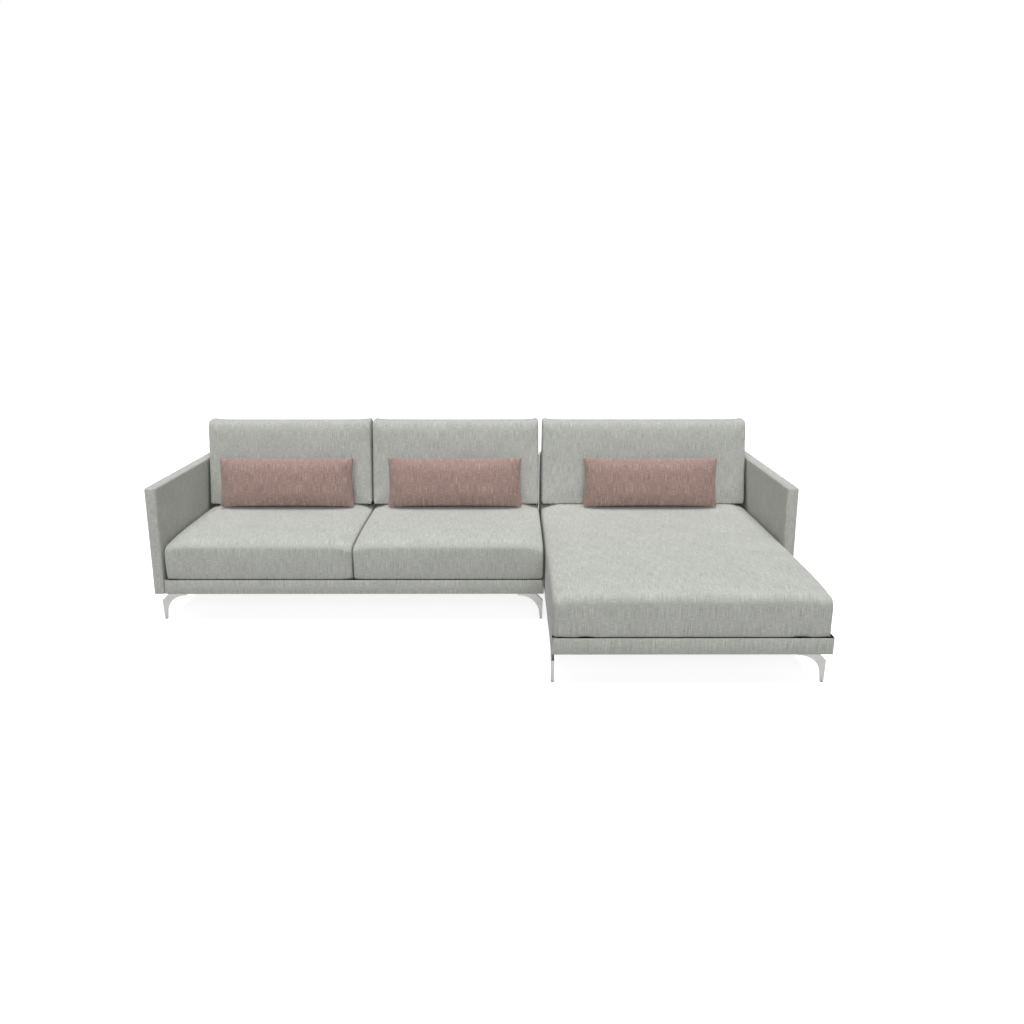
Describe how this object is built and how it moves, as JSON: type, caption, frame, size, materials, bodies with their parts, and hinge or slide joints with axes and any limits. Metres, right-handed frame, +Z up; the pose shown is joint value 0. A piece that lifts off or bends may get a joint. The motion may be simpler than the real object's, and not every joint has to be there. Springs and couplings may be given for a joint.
{
  "type": "sectional sofa",
  "caption": "Sectional sofa with a long chaise on its right, box seat cushions, back cushions, loose lumbar cushions and cast metal feet.",
  "frame": {"origin": "on the floor, at the middle of the outline seen from above", "axes": "+Z up; the front faces -Y; +X is to the right as seen from the front, towards the chaise"},
  "size_m": [2.98, 1.5799, 0.862],
  "materials": {
    "grey_fabric": "woven, with slubs",
    "rose_fabric": "woven, with slubs",
    "lining": "thin black cloth",
    "foam": "matt",
    "fibre": "matt",
    "webbing": "woven strap",
    "felt": "felt",
    "timber": "sawn",
    "cast_metal": "satin",
    "glide_plastic": "matt",
    "steel": "zinc plated"
  },
  "bodies": {
    "sofa": {"arm_bolts": "steel", "back_chaise_cover": "grey_fabric", "back_chaise_filling": "fibre", "back_left_cover": "grey_fabric", "back_left_filling": "fibre", "back_middle_cover": "grey_fabric", "back_middle_filling": "fibre", "base_bolts": "steel", "chaise_arm_cover": "grey_fabric", "chaise_arm_padding": "foam", "chaise_arm_panel": "timber", "chaise_back_cover": "grey_fabric", "chaise_back_frame": "timber", "chaise_back_padding": "foam", "chaise_base_cover": "grey_fabric", "chaise_cross_rails": "timber", "chaise_deck_pad": "felt", "chaise_dust_cover": "lining", "chaise_foot_front_left": "cast_metal", "chaise_foot_front_right": "cast_metal", "chaise_foot_rear_left": "cast_metal", "chaise_foot_rear_right": "cast_metal", "chaise_front_rail": "timber", "chaise_rear_rail": "timber", "chaise_side_rails": "timber", "chaise_webbing": "webbing", "connector_plates": "steel", "corner_blocks": "timber", "foot_glides": "glide_plastic", "seat_chaise_cover": "grey_fabric", "seat_chaise_foam": "foam", "seat_left_cover": "grey_fabric", "seat_left_foam": "foam", "seat_middle_cover": "grey_fabric", "seat_middle_foam": "foam", "sofa_arm_cover": "grey_fabric", "sofa_arm_padding": "foam", "sofa_arm_panel": "timber", "sofa_back_cover": "grey_fabric", "sofa_back_frame": "timber", "sofa_back_padding": "foam", "sofa_base_cover": "grey_fabric", "sofa_cross_rails": "timber", "sofa_deck_pad": "felt", "sofa_dust_cover": "lining", "sofa_foot_front_left": "cast_metal", "sofa_foot_front_right": "cast_metal", "sofa_foot_rear_left": "cast_metal", "sofa_foot_rear_right": "cast_metal", "sofa_front_rail": "timber", "sofa_rear_rail": "timber", "sofa_side_rails": "timber", "sofa_webbing": "webbing"},
    "lumbar_left": {"lumbar_left_cover": "rose_fabric", "lumbar_left_filling": "fibre"},
    "lumbar_middle": {"lumbar_middle_cover": "rose_fabric", "lumbar_middle_filling": "fibre"},
    "lumbar_chaise": {"lumbar_chaise_cover": "rose_fabric", "lumbar_chaise_filling": "fibre"}
  },
  "joints": [
    {"name": "lumbar_left_lift", "type": "slide", "parent": "sofa", "child": "lumbar_left", "axis": [0, 0, 1], "range_m": [0, 0.48]},
    {"name": "lumbar_middle_lift", "type": "slide", "parent": "sofa", "child": "lumbar_middle", "axis": [0, 0, 1], "range_m": [0, 0.48]},
    {"name": "lumbar_chaise_lift", "type": "slide", "parent": "sofa", "child": "lumbar_chaise", "axis": [0, 0, 1], "range_m": [0, 0.48]}
  ]
}
